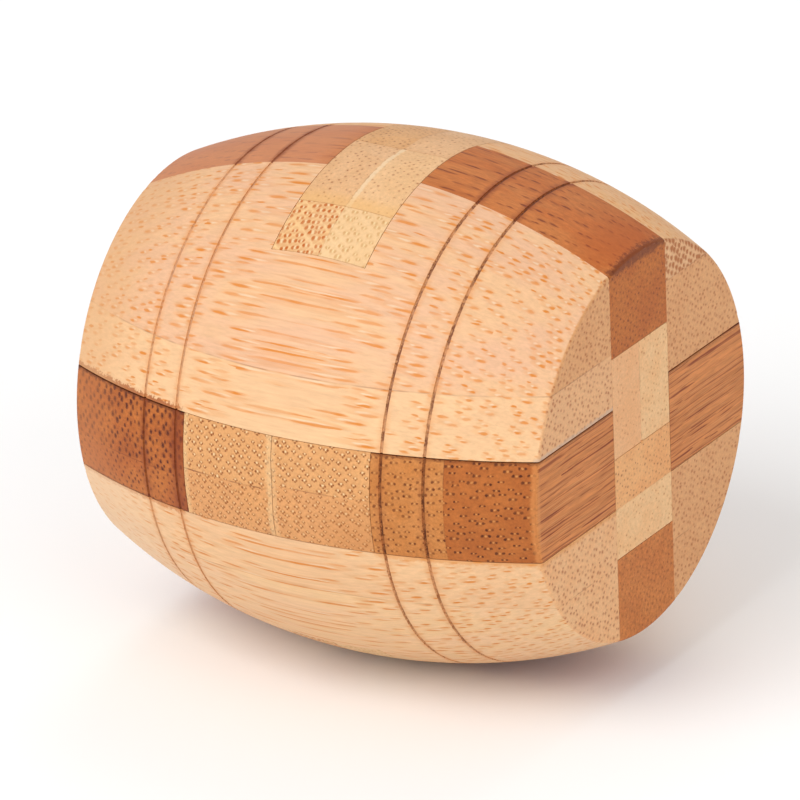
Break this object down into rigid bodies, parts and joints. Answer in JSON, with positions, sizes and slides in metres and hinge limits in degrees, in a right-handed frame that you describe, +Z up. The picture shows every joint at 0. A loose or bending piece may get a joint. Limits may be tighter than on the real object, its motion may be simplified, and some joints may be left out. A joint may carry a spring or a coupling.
{
  "type": "wooden burr puzzle",
  "caption": "Barrel-shaped interlocking burr puzzle: light and dark bamboo sticks cross on a square grid, turned into a barrel and locked by sliding key strips.",
  "frame": {"origin": "centre of the barrel", "axes": "+X along the barrel's axis, -Y to the front, +Z up with the barrel lying on its belly and the keys upright"},
  "size_m": [0.0496, 0.0488, 0.0488],
  "materials": {
    "natural_bamboo": "smooth sanded light bamboo, fine dark pores",
    "stave_wood": "smooth sanded light bamboo with orange streaks along the grain",
    "carbonised_bamboo": "smooth sanded carbonised brown bamboo"
  },
  "bodies": {
    "barrel": {"long_bar_upper": "natural_bamboo", "long_bar_lower": "natural_bamboo", "cross_bar_left": "natural_bamboo", "cross_bar_right": "natural_bamboo", "upright_bar_front": "natural_bamboo", "upright_bar_back": "natural_bamboo", "stave_top_front": "stave_wood", "stave_top_back": "stave_wood", "stave_bottom_front": "stave_wood", "stave_bottom_back": "stave_wood", "dark_bar_top": "carbonised_bamboo", "dark_bar_bottom": "carbonised_bamboo", "dark_bar_left": "carbonised_bamboo", "dark_bar_right": "carbonised_bamboo"},
    "front_key": {"key_front": "natural_bamboo"},
    "back_key": {"key_back": "natural_bamboo"}
  },
  "joints": [
    {"name": "front_key_slide", "type": "slide", "parent": "barrel", "child": "front_key", "axis": [0, 0, 1], "range_m": [0, 0.045]},
    {"name": "back_key_slide", "type": "slide", "parent": "barrel", "child": "back_key", "axis": [0, 0, 1], "range_m": [0, 0.045]}
  ]
}
